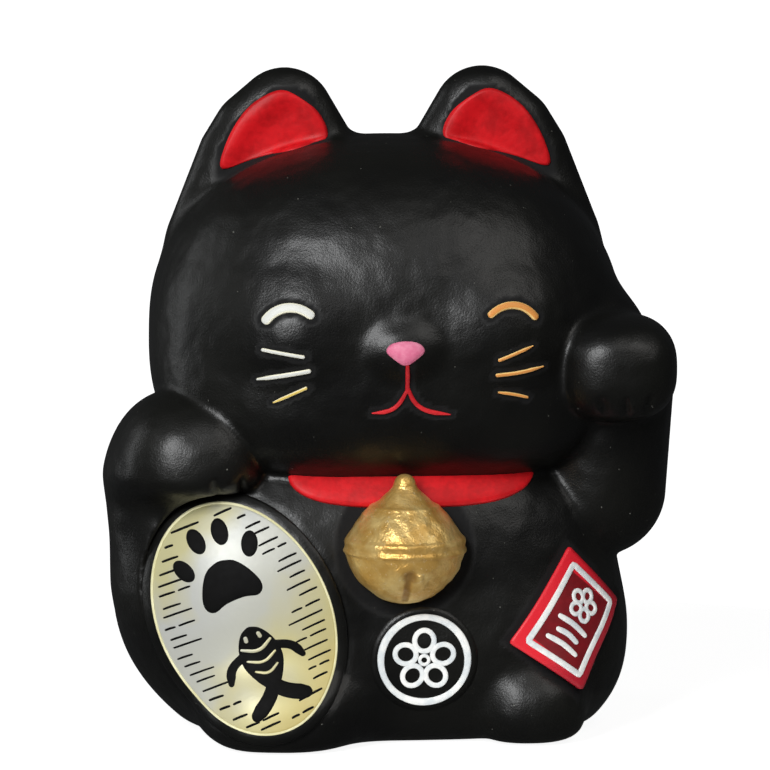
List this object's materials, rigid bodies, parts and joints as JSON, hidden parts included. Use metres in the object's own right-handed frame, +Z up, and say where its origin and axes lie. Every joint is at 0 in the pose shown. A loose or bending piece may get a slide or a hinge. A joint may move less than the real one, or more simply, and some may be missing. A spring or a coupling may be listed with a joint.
{
  "type": "beckoning cat figurine",
  "caption": "Chubby black seated lucky cat, one paw raised beside its cheek and the other on a large oval coin, with a red collar, a bell and a rubber stopper in its base.",
  "frame": {"origin": "on the resting face under the figure, in the plane that halves the head", "axes": "+Z up, -Y the way the face looks, +X towards the viewer's right when facing it"},
  "size_m": [0.0755, 0.0627, 0.0878],
  "materials": {
    "black_glaze": "fine-grained satin black",
    "bare_clay": "matte black, wiped thin",
    "stopper_rubber": "matte",
    "red_enamel": "satin brushed enamel",
    "gilt": "worn gilding",
    "coin_leaf": "pale silver-gold leaf",
    "white_enamel": "satin brushed enamel",
    "tag_enamel": "satin, dark red over red",
    "ivory_enamel": "satin brushed enamel",
    "orange_enamel": "satin brushed enamel",
    "pink_enamel": "satin brushed enamel"
  },
  "bodies": {
    "figure": {"torso": "black_glaze", "head": "black_glaze", "ear_left": "black_glaze", "ear_right": "black_glaze", "raised_arm": "black_glaze", "holding_arm": "black_glaze", "foot_left": "black_glaze", "foot_right": "black_glaze", "tail": "black_glaze", "base_plate": "bare_clay", "collar_front": "red_enamel", "collar_back": "red_enamel", "bell": "gilt", "bell_knob": "gilt", "koban": "coin_leaf", "koban_rim": "black_glaze", "medallion_ring": "white_enamel", "medallion_blossom": "white_enamel", "tag": "tag_enamel", "tag_frame": "white_enamel", "tag_blossom": "white_enamel", "lining_left": "red_enamel", "lining_right": "red_enamel", "eye_left": "ivory_enamel", "eye_right": "orange_enamel", "nose": "pink_enamel", "mouth": "red_enamel", "whisker_left_top": "ivory_enamel", "whisker_left_middle": "ivory_enamel", "whisker_left_low": "ivory_enamel", "whisker_right_top": "orange_enamel", "whisker_right_middle": "orange_enamel", "whisker_right_low": "orange_enamel"},
    "stopper": {"stopper": "stopper_rubber"}
  },
  "joints": [
    {"name": "stopper_pull", "type": "slide", "parent": "figure", "child": "stopper", "axis": [0, 0, -1], "range_m": [0, 0.012]}
  ]
}
